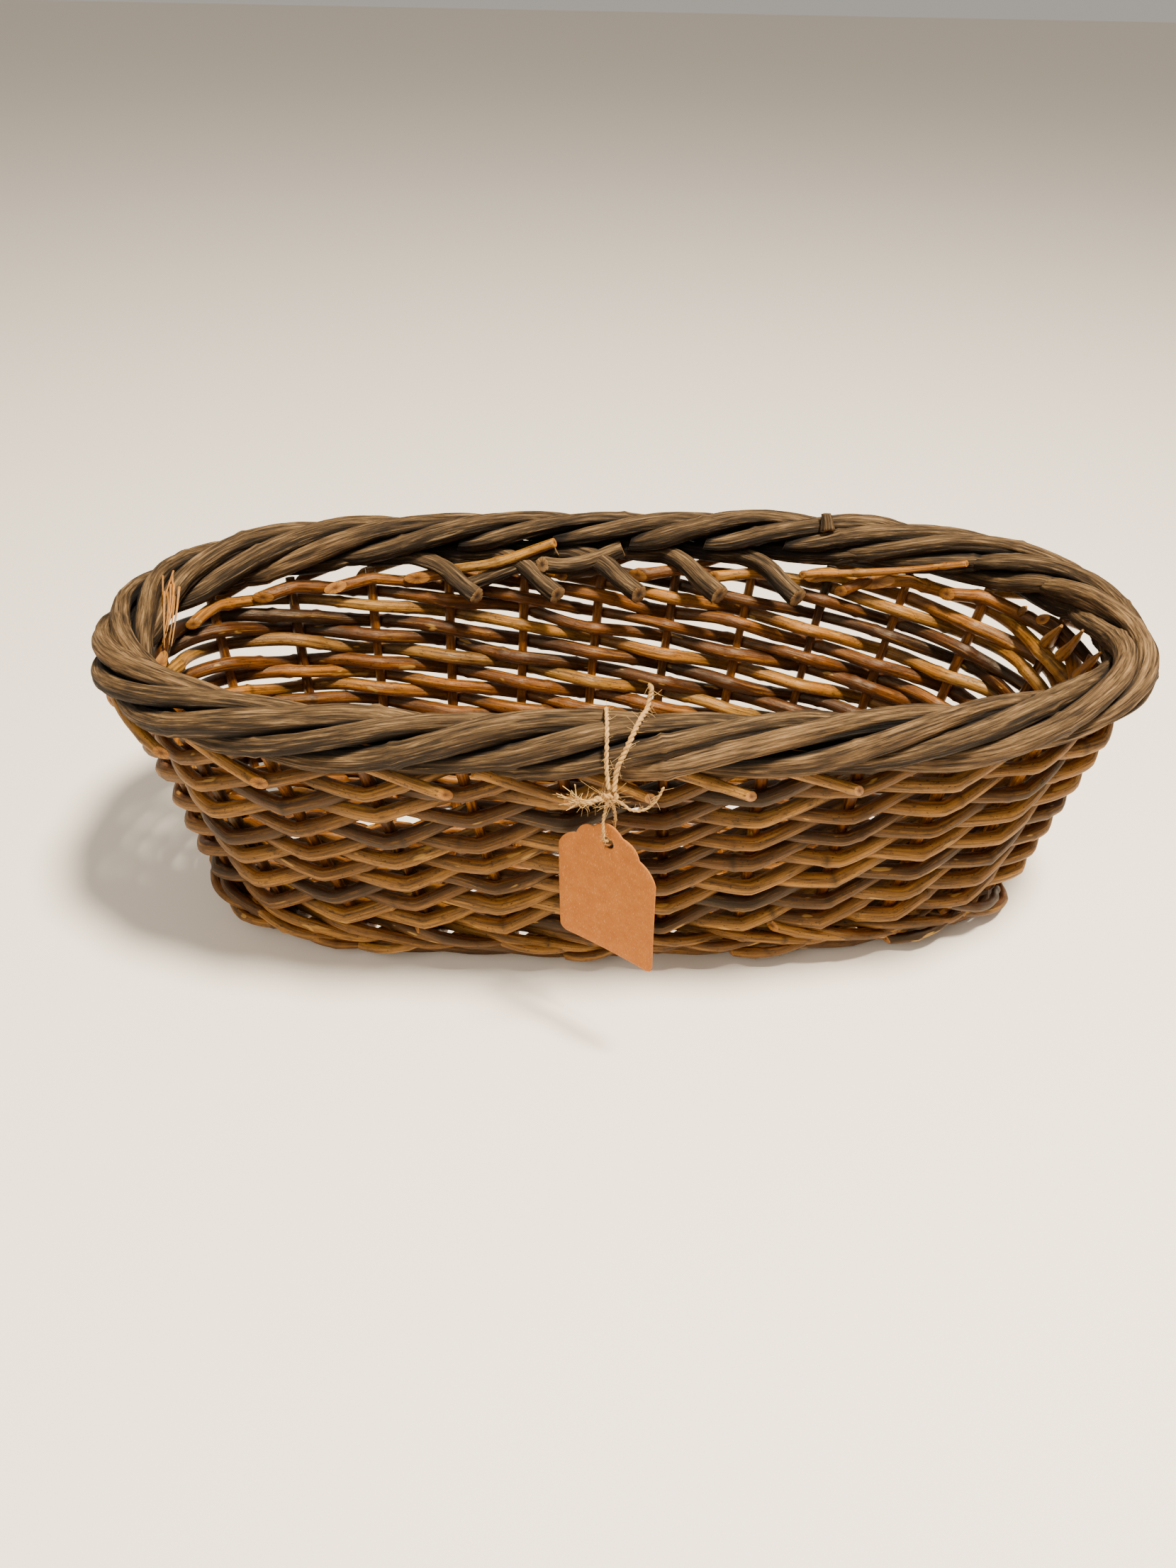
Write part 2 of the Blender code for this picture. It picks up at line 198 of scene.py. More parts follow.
class Rods:
    """Rods gathered into one closed-bodied mesh, with the attributes that the materials read."""

    def __init__(self):
        self.points, self.quads, self.fans = [], [], []
        # groove carries the rods' own dark marks together with the painted shade in the crevices.
        self.marks = {"grain": [], "tone": [], "outer": [], "cut": [], "core": [], "groove": []}
        self.count = 0

    def put(self, points, **marks):
        self.points.append(points)
        for name, store in self.marks.items():
            value = marks.get(name, 0.0)
            width = (len(points), 3) if name == "grain" else (len(points),)
            store.append(np.broadcast_to(np.asarray(value, float), width))
        first = self.count
        self.count += len(points)
        return first

    def add(self, line, radius, rng, sides=12, tone=0.5, out=None, slant=(0.0, 0.0), cut=(1.0, 1.0),
            relief=None, groove=None, face=(0.0, 0.0, 1.0), crevice=None, bare=0.0):
        """One rod. radius is a number or an array along the line. relief, an array of surface offsets,
        and groove, how dark they are, go round and along it. Slanted ends look towards face. Painted
        shade in the crevices comes from a function of the surface points, and a bare rod has no bark."""
        count = len(line)
        tangent = directions(line)
        side, other = crossways(tangent)
        angle = np.arange(sides) / sides * 2 * np.pi
        ray = side[:, None] * np.cos(angle)[:, None] + other[:, None] * np.sin(angle)[:, None]
        size = np.asarray(radius, float).reshape(-1, 1) * np.ones((count, sides))
        if relief is not None:
            size += relief
        rings = line[:, None] + ray * size[..., None]
        along = lengths_along(line)
        for end, row in ((0, 0), (1, count - 1)):
            if slant[end]:
                lean = (ray[row] @ np.asarray(face, float)) * size[row] * slant[end] * (1 - 2 * end)
                reach = max(1e-6, SLANT_REACH * abs(slant[end]) * size[row].max())
                place = along if end == 0 else along[-1] - along
                fade = np.clip(1 - place / (reach * SLANT_FADE), 0, 1)
                rings += tangent[:, None] * (lean[None, :] * fade[:, None])[..., None]
        seed = rng.random(3) * 50
        girth = size.mean()
        place = np.broadcast_arrays(np.cos(angle) * girth, np.sin(angle) * girth, along[:, None])
        grain = np.stack(place, axis=-1) + seed
        tones = np.broadcast_to(np.asarray(tone, float).reshape(-1, 1), size.shape)
        facing = np.zeros(size.shape) if out is None else np.einsum("nsk,nk->ns", ray, out)
        marks_and_shade = np.zeros(size.shape) if groove is None else groove
        # The darker of the rod's own dark marks and the painted shade in the crevices.
        if crevice is not None:
            marks_and_shade = np.maximum(marks_and_shade, crevice(rings))
        first = self.put(rings.reshape(-1, 3), grain=grain.reshape(-1, 3), tone=tones.ravel(),
                         outer=facing.ravel(), groove=marks_and_shade.ravel(), cut=bare)
        index = first + np.arange(count * sides).reshape(count, sides)
        beside = np.roll(index, -1, axis=1)
        quads = np.stack([index[:-1], beside[:-1], beside[1:], index[1:]], axis=-1)
        self.quads.append(quads.reshape(-1, 4))
        for end, row, way in ((0, 0, -1), (1, count - 1, 1)):
            self.close(rings[row], tangent[row] * way, index[row], way, cut[end], grain[row], tones[row])

    def close(self, ring, outward, inner, way, cut, grain, tone):
        """A cut end: a small chamfer, a ring of wood and the pith."""
        sides = len(ring)
        centre = ring.mean(0)
        radius = np.linalg.norm(ring[0] - centre)
        for scale, push, core in CUT_RINGS:
            level = centre + (ring - centre) * scale + outward * radius * push
            row = self.put(level, grain=grain, tone=tone, cut=cut, core=core) + np.arange(sides)
            pair = (inner, np.roll(inner, -1), np.roll(row, -1), row)
            self.quads.append(np.stack(pair if way > 0 else pair[::-1], axis=-1))
            inner = row
        tip = self.put((centre + outward * radius * PITH_STANDS_OUT)[None], grain=grain[:1],
                       tone=tone[:1], cut=cut, core=1.0)
        fan = (inner, np.roll(inner, -1), np.full(sides, tip))
        self.fans.append(np.stack(fan if way > 0 else (fan[1], fan[0], fan[2]), axis=-1))

    def build(self, name, material, nodes=(), body="basket"):
        mesh = bpy.data.meshes.new(name)
        faces = np.concatenate(self.quads).tolist() + np.concatenate(self.fans).tolist()
        mesh.from_pydata(np.concatenate(self.points).tolist(), [], faces)
        mesh.shade_smooth()
        for mark, store in self.marks.items():
            kind, key = ("FLOAT_VECTOR", "vector") if mark == "grain" else ("FLOAT", "value")
            attribute = mesh.attributes.new(mark, kind, "POINT")
            attribute.data.foreach_set(key, np.concatenate(store).astype(np.float32).ravel())
        return place_piece(mesh, material, nodes, body)

    def stand_for(self, node, material, number="", body="basket"):
        """Builds the look of one CAD node, named after it."""
        return self.build(f"{node}_look{number}", material, [node + number], body)


def add_object(name, data):
    thing = bpy.data.objects.new(name, data)
    bpy.context.scene.collection.objects.link(thing)
    return thing


def place_piece(mesh, material, nodes, body):
    """Puts a mesh in the scene as a piece of a body, in place of the CAD nodes that it stands for.
    A material's name, without the number that Blender may add, is its slot."""
    mesh.validate()
    mesh.materials.append(material)
    piece = add_object(mesh.name, mesh)
    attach(piece, body)
    if nodes:
        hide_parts(*nodes)
    return piece


# -------- materials
def srgb(red, green, blue):
    """A colour given as it looks, 0 to 255, as the shader's linear values."""
    return (*(((c / 255 + 0.055) / 1.055) ** 2.4 if c > 10 else c / 3295 for c in (red, green, blue)), 1)


BARK_SHADE = 0.60
BARK_RICHNESS = (1.42, 1.36, 1.60)


def bark(red, green, blue):
    """A bark colour given as it looks under the studio light, as the darker, richer surface behind it."""
    channels = zip(srgb(red, green, blue), BARK_RICHNESS)
    return (*(BARK_SHADE * channel**richness for channel, richness in channels), 1)


class Graph:
    """A material's nodes, written as calls."""

    def __init__(self, name):
        self.material = bpy.data.materials.new(name)
        self.material.use_nodes = True
        self.nodes = self.material.node_tree.nodes
        self.links = self.material.node_tree.links
        self.shader = self.nodes["Principled BSDF"]

    def give(self, socket, value):
        if isinstance(value, bpy.types.NodeSocket):
            self.links.new(value, socket)
        elif socket.type == "RGBA" and isinstance(value, float):
            socket.default_value = (value, value, value, 1)
        else:
            socket.default_value = value

    def attribute(self, name, output="Fac"):
        node = self.nodes.new("ShaderNodeAttribute")
        node.attribute_name = name
        return node.outputs[output]

    def stretch(self, vector, scale):
        node = self.nodes.new("ShaderNodeVectorMath")
        node.operation = "MULTIPLY"
        self.give(node.inputs[0], vector)
        node.inputs[1].default_value = scale
        return node.outputs[0]

    def noise(self, vector, scale, detail=2.0, rough=0.5, distortion=0.0):
        node = self.nodes.new("ShaderNodeTexNoise")
        self.give(node.inputs["Vector"], self.stretch(vector, scale))
        values = {"Scale": 1, "Detail": detail, "Roughness": rough, "Distortion": distortion}
        for name, value in values.items():
            node.inputs[name].default_value = value
        return node.outputs["Fac"]

    def ramp(self, value, stops):
        node = self.nodes.new("ShaderNodeValToRGB")
        self.give(node.inputs["Fac"], value)
        while len(node.color_ramp.elements) < len(stops):
            node.color_ramp.elements.new(0.5)
        for element, (place, colour) in zip(node.color_ramp.elements, stops):
            element.position = place
            element.color = colour if isinstance(colour, tuple) else (colour, colour, colour, 1)
        return node.outputs["Color"]

    def mix(self, share, a, b):
        node = self.nodes.new("ShaderNodeMix")
        node.data_type = "RGBA"
        self.give(node.inputs["Factor"], share)
        self.give(node.inputs[6], a)
        self.give(node.inputs[7], b)
        return node.outputs[2]

    def math(self, operation, a, b=0.0, clamp=False):
        node = self.nodes.new("ShaderNodeMath")
        node.operation = operation
        node.use_clamp = clamp
        self.give(node.inputs[0], a)
        self.give(node.inputs[1], b)
        return node.outputs[0]

    def cover(self, colour, value, stops, over):
        """A colour with another laid over it where a value's ramp says so."""
        return self.mix(self.ramp(value, stops), colour, over)

    def varied(self, value, noise, amount):
        """A value with a noise's ups and downs added, kept between 0 and 1."""
        swing = self.math("MULTIPLY", self.math("SUBTRACT", noise, 0.5), amount)
        return self.math("ADD", value, swing, True)

    def bump(self, height, distance, strength=1.0, below=None):
        node = self.nodes.new("ShaderNodeBump")
        node.inputs["Distance"].default_value = distance
        node.inputs["Strength"].default_value = strength
        self.give(node.inputs["Height"], height)
        if below is not None:
            self.give(node.inputs["Normal"], below)
        return node.outputs["Normal"]

    def finish(self, colour, roughness, normal, shine, tint=(1, 1, 1, 1)):
        self.give(self.shader.inputs["Base Color"], colour)
        self.give(self.shader.inputs["Roughness"], roughness)
        self.give(self.shader.inputs["Normal"], normal)
        self.give(self.shader.inputs["Specular IOR Level"], shine)
        self.give(self.shader.inputs["Specular Tint"], tint)
        return self.material


def cut_wood(graph, colour, pale, pith):
    """Covers a rod's colour with bare wood where it is cut."""
    wood = graph.mix(graph.ramp(graph.attribute("core"), [(0.30, 0.0), (0.85, 1.0)]), pale, pith)
    flecks = graph.noise(graph.attribute("grain", "Vector"), (2600, 2600, 400), 2)
    wood = graph.cover(wood, flecks, [(0.35, 0.55), (0.6, 0.0)], pith)
    return graph.mix(graph.ramp(graph.attribute("cut"), [(0.45, 0.0), (0.6, 1.0)]), colour, wood)


def willow(name):
    """Unpeeled willow: glossy golden to red brown inside, duller and greyer outside, from weathering and
    painted light.
    """
    graph = Graph(name)
    grain = graph.attribute("grain", "Vector")
    patch = graph.noise(grain, (90, 90, 28), 3, 0.6)
    streak = graph.noise(grain, (800, 800, 38), 5, 0.68)
    mottle = graph.noise(grain, (520, 520, 210), 3, 0.6)
    place = graph.varied(graph.attribute("tone"), patch, 0.55)
    colour = graph.ramp(place, [
        (0.00, bark(66, 40, 28)), (0.16, bark(104, 58, 36)), (0.34, bark(146, 90, 46)),
        (0.55, bark(186, 122, 62)), (0.75, bark(216, 154, 84)), (0.90, bark(222, 172, 108)),
        (1.00, bark(184, 138, 92))])
    # A greyer copy for the faces that look out of the wall: partly weathering, partly painted light.
    weathered_and_lit = graph.ramp(place, [
        (0.00, bark(78, 48, 34)), (0.20, bark(114, 76, 48)), (0.45, bark(158, 114, 68)),
        (0.70, bark(198, 150, 94)), (1.00, bark(194, 146, 100))])
    outside = graph.ramp(graph.attribute("outer"), [(0.15, 0.0), (0.55, 0.85)])
    colour = graph.mix(outside, colour, weathered_and_lit)
    colour = graph.cover(colour, streak, [(0.36, 0.80), (0.60, 0.0)], bark(58, 34, 18))
    colour = graph.cover(colour, streak, [(0.54, 0.0), (0.72, 0.45)], bark(222, 172, 98))
    colour = graph.cover(colour, mottle, [(0.30, 0.55), (0.44, 0.0)], bark(54, 38, 28))
    specks = graph.noise(grain, (1500, 1500, 900), 1, 0.4)
    colour = graph.cover(colour, specks, [(0.27, 0.85), (0.33, 0.0)], bark(34, 24, 18))
    # Darker at the nodes, and painted shade in the wall's crevices where the rods cross.
    colour = graph.mix(graph.attribute("groove"), colour, bark(58, 34, 18))
    scar = graph.noise(grain, (230, 230, 60), 2, 0.5)
    colour = graph.cover(colour, scar, [(0.68, 0.0), (0.71, 0.75)], bark(222, 180, 120))
    colour = cut_wood(graph, colour, srgb(162, 108, 46), srgb(90, 52, 22))
    rough = graph.ramp(graph.mix(outside, streak, 0.9), [(0.25, 0.33), (0.60, 0.44), (0.95, 0.62)])
    normal = graph.bump(streak, 0.00045, 1.0, graph.bump(mottle, 0.00040, 0.6))
    return graph.finish(colour, rough, normal, 0.40, (1.0, 0.80, 0.56, 1))


def vine(name):
    """Weathered vine: grey brown, furrowed along its length, dark in the furrows, with painted light on the
    faces that look up.
    """
    graph = Graph(name)
    grain = graph.attribute("grain", "Vector")
    patch = graph.noise(grain, (70, 70, 22), 3, 0.6)
    fibre = graph.noise(grain, (1100, 1100, 55), 6, 0.70, 0.3)
    coarse = graph.noise(grain, (620, 620, 48), 3, 0.6)
    place = graph.varied(graph.attribute("tone"), patch, 0.8)
    colour = graph.ramp(place, [
        (0.0, bark(82, 60, 48)), (0.35, bark(122, 94, 77)), (0.65, bark(160, 126, 104)),
        (1.0, bark(194, 160, 134))])
    # Painted light: paler towards the faces that look up.
    painted_top_light = graph.ramp(graph.attribute("outer"), [(0.1, 0.0), (0.9, 0.5)])
    colour = graph.mix(painted_top_light, colour, bark(188, 154, 127))
    colour = graph.cover(colour, fibre, [(0.38, 0.90), (0.58, 0.0)], bark(58, 42, 30))
    colour = graph.cover(colour, fibre, [(0.54, 0.0), (0.72, 0.60)], bark(220, 188, 158))
    colour = graph.cover(colour, coarse, [(0.34, 0.75), (0.50, 0.0)], bark(62, 44, 31))
    # Dark in the furrows, with painted shade in the gaps between the border's rods.
    colour = graph.cover(colour, graph.attribute("groove"), [(0.20, 0.0), (0.80, 0.92)], bark(36, 25, 18))
    colour = cut_wood(graph, colour, srgb(142, 106, 64), srgb(66, 46, 28))
    normal = graph.bump(fibre, 0.0008, 1.0, graph.bump(coarse, 0.0011, 0.9))
    return graph.finish(colour, graph.ramp(fibre, [(0.3, 0.82), (0.8, 0.62)]), normal, 0.20)


# -------- stage, light and camera
CAMERA_PLACE = (-0.0378, -0.4437, 0.3785)
CAMERA_DEGREES = {"pitch": 36.2, "yaw": 2.8, "roll": 1.3}
CAMERA_LENS = 27.02
CAMERA_SENSOR = 36


def aim_camera():
    """The viewing angle: a phone held above the near side, a little to the left of the middle."""
    pitch, yaw, roll = (math.radians(angle) for angle in CAMERA_DEGREES.values())
    forward = Vector((math.sin(yaw) * math.cos(pitch), math.cos(yaw) * math.cos(pitch), -math.sin(pitch)))
    right = Vector((math.cos(yaw), -math.sin(yaw), 0))
    up = right.cross(forward)
    across = math.cos(roll) * right + math.sin(roll) * up
    upright = -math.sin(roll) * right + math.cos(roll) * up
    turn = Matrix((across, upright, -forward)).transposed().to_4x4()
    camera = add_object("camera", bpy.data.cameras.new("camera"))
    camera.data.lens = CAMERA_LENS
    camera.data.sensor_width = CAMERA_SENSOR
    camera.matrix_world = Matrix.Translation(CAMERA_PLACE) @ turn
    bpy.context.scene.camera = camera


FLOOR_SIZE = 14.0
FLOOR_COLOUR = srgb(247, 236, 219)
FLOOR_ROUGHNESS = 0.7


def set_stage():
    bpy.ops.mesh.primitive_plane_add(size=FLOOR_SIZE)
    floor = bpy.context.object
    floor.name = "floor"
    graph = Graph("floor")
    graph.shader.inputs["Base Color"].default_value = FLOOR_COLOUR
    graph.shader.inputs["Roughness"].default_value = FLOOR_ROUGHNESS
    floor.data.materials.append(graph.material)


LIGHTS_TARGET = (0, 0, 0.06)
ROOM_COLOUR = (1.0, 0.92, 0.83, 1)
ROOM_STRENGTH = 0.44


def add_light(name, place, size, energy, colour):
    light = bpy.data.lights.new(name, "AREA")
    light.shape = "DISK"
    light.size = size
    light.energy = energy
    light.color = colour
    lamp = add_object(name, light)
    lamp.location = place
    lamp.rotation_euler = (Vector(LIGHTS_TARGET) - Vector(place)).to_track_quat("-Z", "Y").to_euler()


def set_light():
    """A warm key light from above on the right, a wide fill from the front left and a pale room."""
    add_light("key_light", (0.34, -0.35, 1.5), size=0.28, energy=84, colour=(1.0, 0.91, 0.78))
    add_light("fill_light", (-0.8, -1.2, 1.2), size=1.2, energy=15, colour=(1.0, 0.93, 0.84))
    world = bpy.data.worlds.new("room")
    world.use_nodes = True
    background = world.node_tree.nodes["Background"]
    background.inputs["Color"].default_value = ROOM_COLOUR
    background.inputs["Strength"].default_value = ROOM_STRENGTH
    bpy.context.scene.world = world


# -------- willow
RING_STEP = 0.0022
NODE_LENGTH = 0.0016
NODE_SPACING = 0.034
NODE_RISE = 0.00055
GIRTH_WANDER = 0.00012
WILLOW_RELIEF = 0.00055
# Painted shade in the wall's crevices where the rods cross: its strength and its reach from the middle.
WALL_CREVICE_SHADE = 0.60
WALL_CREVICE_SHADE_DEPTH = 0.0042
KINK = 0.75


def rod_nodes(rng, along, spacing, rise):
    """Swellings where leaves grew, as extra radius along the rod, and how dark each one is."""
    swell, dark = np.zeros(len(along)), np.zeros(len(along))
    place = rng.uniform(0.01, spacing)
    while place < along[-1]:
        near = (along - place) / NODE_LENGTH
        swell += rise * rng.uniform(0.4, 1.2) * np.exp(-near * near)
        dark += rng.uniform(0.1, 0.8) * np.exp(-(near * 2) ** 2)
        place += rng.uniform(0.5, 1.6) * spacing
    return swell, dark


def add_willow(rods, line, out, rng, radius, tone, slant=(0.0, 0.0), sides=12, **more):
    """One willow rod along a line, with nodes and an uneven girth. radius is that of its two ends."""
    along = lengths_along(line)
    swell, dark = rod_nodes(rng, along, NODE_SPACING, NODE_RISE)
    size = np.interp(along, (0, along[-1]), radius) + swell + wander(rng, along, 0.03, GIRTH_WANDER)
    tones = np.clip(tone + wander(rng, along, 0.09, 0.10), 0, 1)
    relief = (furrows(rng, along, sides, 6, 0.02) - 0.5) * WILLOW_RELIEF
    partly = furrows(rng, along, sides, 3, 0.004) > 0.35
    groove = np.clip(dark, 0, 0.8)[:, None] * partly
    rods.add(line, size, rng, sides, tones, out, slant, relief=relief, groove=groove, **more)


def wall_crevice_shade(line):
    """Painted shade in the wall's crevices, by a surface point's distance from the wall's middle."""
    middle, out = line

    def dark(rings):
        depth = np.abs(np.einsum("nsk,nk->ns", rings - middle[:, None], out))
        return np.clip(1 - depth / WALL_CREVICE_SHADE_DEPTH, 0, 1) * WALL_CREVICE_SHADE

    return dark


def pick_tone(rng):
    """A rod's colour: mostly golden to orange brown, some red brown, some olive."""
    kind = rng.random()
    if kind < 0.16:
        return rng.uniform(0.08, 0.22)
    if kind < 0.88:
        return rng.uniform(0.38, 0.80)
    return rng.uniform(0.88, 1.0)


def kinked(share):
    """A cosine-like swing whose bends are tighter and whose runs are straighter."""
    wave = np.cos(np.pi * share)
    straight = 2 / np.pi * np.arcsin(np.clip(wave, -1, 1))
    return (1 - KINK) * wave + KINK * straight


def make_rand(material):
    """The side weave: a rod starts at each stake and climbs a layer per stake, now inside, now outside."""
    for number in range(STAKES):
        rng = default_rng(100 + number)
        rods = Rods()
        reach = RAND_LAYERS + rng.uniform(0.15, 0.60)
        layer = np.arange(-RAND_TUCK, reach, RING_STEP / STAKE_GAP)
        along = (layer - layer[0]) * STAKE_GAP
        inward = kinked(layer)
        offset = -RAND_OFFSET * inward + wander(rng, along, 0.02, 0.00022)
        height = RAND_START + np.minimum(layer, RAND_LAYERS) * RAND_PITCH + RAND_SAG * inward
        height += wander(rng, along, 0.034, 0.00095)
        tip = -RAND_OFFSET - RAND_TIP_LEAN * (layer - RAND_LAYERS)
        offset = np.where(layer < RAND_LAYERS, offset, tip)
        line, out = wall(number + layer, height, offset)
        radius = (RAND_RADIUS * rng.uniform(0.90, 1.08), RAND_TIP_RADIUS * rng.uniform(0.86, 1.12))
        face = -out[-1] + UP * rng.uniform(-0.2, 0.9)
        add_willow(rods, line, out, rng, radius, pick_tone(rng), (0.3, rng.uniform(0.8, 2.4)),
                   face=face, crevice=wall_crevice_shade(wall(number + layer, height)))
        rods.stand_for("rand_rod", material, f"_{number + 1:02d}")


def stake_side(stake):
    """The turned-up part of a rib, from its top down to the flat base."""
    heights = np.arange(STAKE_TOP, BASE_HEIGHT + BEND_RADIUS, -0.004)
    angle = np.radians(np.arange(0, 91, 10))
    bend = wall(stake, BASE_HEIGHT + BEND_RADIUS * (1 - np.sin(angle)), -BEND_RADIUS * (1 - np.cos(angle)))
    return np.concatenate([wall(stake, heights)[0], bend[0]])


CROSS_RIB_RADIUS = 0.0024
LONG_RIB_RADIUS = 0.0023
WEAVER_RADIUS = 0.0019
RIB_SIDES = 10
WEAVER_SIDES = 8
RIB_STEP = 0.0025
LONG_RIB_ENDS = 0.0215
LONG_RIB_BOW = 0.0115
BOW_HALF_LENGTH = 0.1600
WEAVER_PASSES = 4
RIB_REACH = 0.0053
WEAVER_REACH = 0.0048
WEAVER_TAIL = 0.0095
EDGE_WEAVER_GAP = 0.0062


def rib_crossing(stake, share, extra=0.0):
    """Where a cross rib meets a line that bows with the long ribs."""
    back, front = stake_side(stake)[-1], stake_side(STAKES - stake)[-1]
    bow = LONG_RIB_ENDS + LONG_RIB_BOW * (1 - (back[0] / BOW_HALF_LENGTH) ** 2)
    y = share * bow + math.copysign(extra, share)
    along = (y - front[1]) / (back[1] - front[1])
    return np.array([front[0] + (back[0] - front[0]) * along, y, BASE_HEIGHT])


def woven(stakes, row, share, reach, extra=0.0):
    """Points over and under the cross ribs, a share of the way to the back or front long rib."""
    points = []
    for stake in stakes:
        side = 1 if (stake + row) % 2 else -1
        points.append(rib_crossing(stake, share, extra) + np.array([0, 0, side * reach]))
    return points


def with_tails(points, reach):
    """The same points with a short tail past the last rib at both ends."""
    ends = []
    for end, way in ((points[0], 1), (points[-1], -1)):
        tail = end.copy()
        tail[0] += way * WEAVER_TAIL
        tail[2] = BASE_HEIGHT + math.copysign(reach / 2, end[2] - BASE_HEIGHT)
        ends.append(tail)
    return [ends[0], *points, ends[1]]


def weave_line(points):
    """A smooth curve through over-and-under points."""
    points = np.asarray(points)
    along = lengths_along(points)
    at = np.arange(0, along[-1], RIB_STEP)
    index = np.clip(np.searchsorted(along, at, "right") - 1, 0, len(points) - 2)
    share = (at - along[index]) / (along[index + 1] - along[index])
    line = points[index] * (1 - share[:, None]) + points[index + 1] * share[:, None]
    line[:, 2] = points[index, 2] * (1 - eased(share)) + points[index + 1, 2] * eased(share)
    return line


def build_rod(node, material, line, rng, radius, tone, sides, number=""):
    """A piece of one even rod."""
    rods = Rods()
    add_willow(rods, line, None, rng, (radius, radius), tone, sides=sides)
    rods.stand_for(node, material, number)


def make_ribs(material):
    for number, stake in enumerate(CROSS_STAKES):
        rng = default_rng(200 + number)
        line = spaced(np.concatenate([stake_side(stake), stake_side(STAKES - stake)[::-1]]), RIB_STEP)
        build_rod("cross_rib", material, line, rng, CROSS_RIB_RADIUS, rng.uniform(0.25, 0.60), RIB_SIDES,
                  f"_{number + 1:02d}")
    ribs = {"long_rib_back": (1, 12, 1), "long_rib_middle": (0, 13, 0), "long_rib_front": (25, 14, -1)}
    for place, (name, (right, left, share)) in enumerate(ribs.items()):
        rng = default_rng(230 + place)
        across = woven(CROSS_STAKES, place * (WEAVER_PASSES + 1), share, RIB_REACH)
        up, down = stake_side(right), stake_side(left)[::-1]
        middle = weave_line([up[-1], *across, down[0]])
        line = spaced(np.concatenate([up[:-1], middle, down]), RIB_STEP)
        build_rod(name, material, line, rng, LONG_RIB_RADIUS, rng.uniform(0.25, 0.60), RIB_SIDES)


def make_base(material):
    rows = WEAVER_PASSES + 1
    weavers = {"base_weaver_back": (0, 1), "base_weaver_front": (rows, 0)}
    for place, (name, (first_row, first_share)) in enumerate(weavers.items()):
        rng = default_rng(240 + place)
        points = []
        for number in range(1, rows):
            share = first_share - number / rows
            across = woven(CROSS_STAKES, first_row + number, share, WEAVER_REACH)
            run = with_tails(across, WEAVER_REACH)
            points += run if number % 2 else run[::-1]
        build_rod(name, material, weave_line(points), rng, WEAVER_RADIUS, 0.6, WEAVER_SIDES)
    edges = {"base_weaver_back_edge": (-1, 1), "base_weaver_front_edge": (2 * rows + 1, -1)}
    for place, (name, (row, share)) in enumerate(edges.items()):
        rng = default_rng(250 + place)
        across = woven(range(5, 9), row, share, WEAVER_REACH, EDGE_WEAVER_GAP)
        line = weave_line(with_tails(across, WEAVER_REACH))
        build_rod(name, material, line, rng, WEAVER_RADIUS, 0.5, WEAVER_SIDES)


# A wale rod's way, half a stake a stop: how far outside (1) or inside (-1), and how high.
WALE_STOPS = ((1, 1.0), (1, 0.0), (1, -1.0), (0, -0.8), (-1, 0.0), (0, 0.8), (1, 1.0))
WALE_REPEAT = 3
WALE_STAKES = 23.5
WALE = {"height": 0.0165, "rise": 0.0034, "outer": 0.0061, "inner": 0.0061, "lift": 0.0}
LOW_WALE = {"height": 0.0072, "rise": 0.0026, "outer": 0.0022, "inner": 0.0085, "lift": 0.0062}
HOOP_HEIGHT = 0.0034
HOOP_OFFSET = -0.0026


def wale_line(rng, first, height, rise, outer, inner, lift):
    """A three-rod wale's rod: outside two stakes, sloping down, then inside one."""
    phase = np.arange(0, WALE_STAKES, RING_STEP / STAKE_GAP)
    stops = np.array(WALE_STOPS)
    turn = phase % WALE_REPEAT
    swing, slope = (np.interp(turn, np.arange(len(stops)) / 2, stops[:, k]) for k in (0, 1))
    soft = np.ones(7) / 7
    swing, slope = (np.convolve(np.pad(v, 3, mode="edge"), soft, "valid") for v in (swing, slope))
    offset = np.where(swing > 0, swing * outer, swing * inner)
    tall = height + slope * rise + lift * np.clip(-swing, 0, 1)
    tall += wander(rng, phase * STAKE_GAP, 0.03, 0.0004)
    return wall(first + phase, tall, offset)


def make_foot(weave, stake):
    """The waling at the foot, and the hoop that the basket stands on."""
    for number in range(3):
        rng = default_rng(300 + number)
        rods = Rods()
        line, out = wale_line(rng, number, **WALE)
        add_willow(rods, line, out, rng, (0.0027, 0.0025), 0.7 * pick_tone(rng), (0.8, 0.8))
        rods.stand_for("wale_rod", weave, f"_{number + 1}")
    rods = Rods()
    for number in range(3):
        rng = default_rng(310 + number)
        line, out = wale_line(rng, number + 0.5, **LOW_WALE)
        add_willow(rods, line, out, rng, (0.0026, 0.0024), rng.uniform(0.2, 0.55), (0.8, 0.8))
    rods.build("foot_wale_look", stake, ["foot_hoop_upper"])
    rods = Rods()
    rng = default_rng(320)
    line, out = wall(np.arange(0.3, STAKES + 0.2, 0.06), HOOP_HEIGHT, HOOP_OFFSET)
    add_willow(rods, line, out, rng, (0.0024, 0.0023), 0.5, (0.5, 0.5))
    rods.build("foot_hoop_look", stake, ["foot_hoop_lower"])


# -------- the vine border
STRANDS = 5
LAY_RADIUS = 0.0078
STRAND_RADIUS = 0.0043
FIRST_BUTT = 0.1880
BUTT_PHASE = math.radians(225)
